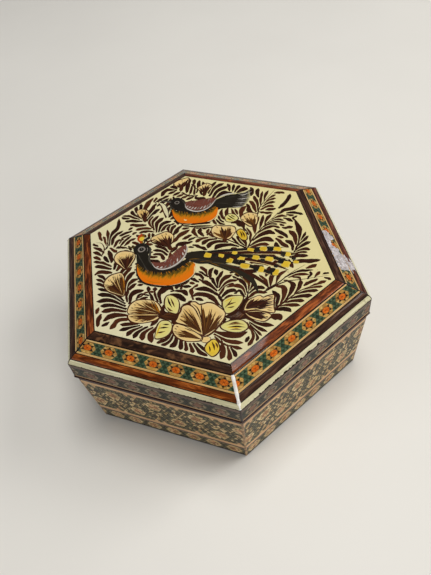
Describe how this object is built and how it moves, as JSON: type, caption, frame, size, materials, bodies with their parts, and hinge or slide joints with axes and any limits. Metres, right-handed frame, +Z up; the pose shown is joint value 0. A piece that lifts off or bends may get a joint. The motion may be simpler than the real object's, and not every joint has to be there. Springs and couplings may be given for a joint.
{
  "type": "inlaid wooden box",
  "caption": "Hexagonal hinged wooden box veneered with geometric marquetry, its bevelled lid framing a bird-and-flower painted panel; it holds small keepsakes.",
  "frame": {"origin": "centre of the underside, on the surface the box stands on", "axes": "+Z up; the front side faces -Y; the hinges are on the +Y side; +X and -X point to two corners of the hexagon"},
  "size_m": [0.12, 0.1037, 0.046],
  "materials": {
    "khatam_base": "micro-marquetry of wood, dyed wood and bone under gloss lacquer",
    "khatam_lid": "micro-marquetry strip with rosettes under gloss lacquer",
    "frame_marquetry": "composite marquetry strip of wood stripes and a rosette band under gloss lacquer",
    "bone": "polished camel bone under gloss lacquer",
    "painted_panel": "ivory-coloured ground painted by brush, thick gloss lacquer",
    "pale_wood": "lacquered pale pinkish wood edging",
    "dark_wood": "lacquered dark wood edging",
    "core_wood": "raw poplar and plywood, not lacquered",
    "velvet": "dark red cotton velvet glued on card",
    "felt": "dark green felt",
    "brass": "lightly tarnished brass"
  },
  "bodies": {
    "base": {"base_underside_felt": "felt", "base_bottom_board": "core_wood", "base_wall_front": "core_wood", "base_wall_front_right": "core_wood", "base_wall_back_right": "core_wood", "base_wall_back": "core_wood", "base_wall_back_left": "core_wood", "base_wall_front_left": "core_wood", "base_khatam_front": "khatam_base", "base_khatam_front_right": "khatam_base", "base_khatam_back_right": "khatam_base", "base_khatam_back": "khatam_base", "base_khatam_back_left": "khatam_base", "base_khatam_front_left": "khatam_base", "base_rim_edging": "pale_wood", "base_floor_lining": "velvet", "base_wall_lining": "velvet", "hinge_left_base_leaf": "brass", "hinge_right_base_leaf": "brass", "hinge_pins": "brass", "base_hinge_nails": "brass"},
    "lid": {"lid_lip_edging": "dark_wood", "lid_wall_front": "core_wood", "lid_wall_front_right": "core_wood", "lid_wall_back_right": "core_wood", "lid_wall_back": "core_wood", "lid_wall_back_left": "core_wood", "lid_wall_front_left": "core_wood", "lid_khatam_front": "khatam_lid", "lid_khatam_front_right": "khatam_lid", "lid_khatam_back_right": "khatam_lid", "lid_khatam_back": "khatam_lid", "lid_khatam_back_left": "khatam_lid", "lid_khatam_front_left": "khatam_lid", "lid_moulding_front": "core_wood", "lid_moulding_front_right": "core_wood", "lid_moulding_back_right": "core_wood", "lid_moulding_back": "core_wood", "lid_moulding_back_left": "core_wood", "lid_moulding_front_left": "core_wood", "frame_marquetry_front": "frame_marquetry", "frame_marquetry_front_right": "frame_marquetry", "frame_marquetry_back_right": "frame_marquetry", "frame_marquetry_back": "frame_marquetry", "frame_marquetry_back_left": "frame_marquetry", "frame_marquetry_front_left": "frame_marquetry", "bone_edge_front": "bone", "bone_edge_front_right": "bone", "bone_edge_back_right": "bone", "bone_edge_back": "bone", "bone_edge_back_left": "bone", "bone_edge_front_left": "bone", "lid_top_board": "core_wood", "painted_panel": "painted_panel", "lid_top_lining": "velvet", "lid_wall_lining": "velvet", "hinge_left_lid_leaf": "brass", "hinge_right_lid_leaf": "brass", "lid_hinge_nails": "brass"}
  },
  "joints": [
    {"name": "lid_hinge", "type": "hinge", "parent": "base", "child": "lid", "pos_m": [0, 0.05061, 0.03124], "axis": [-1, 0, 0], "range_deg": [0, 100]}
  ]
}
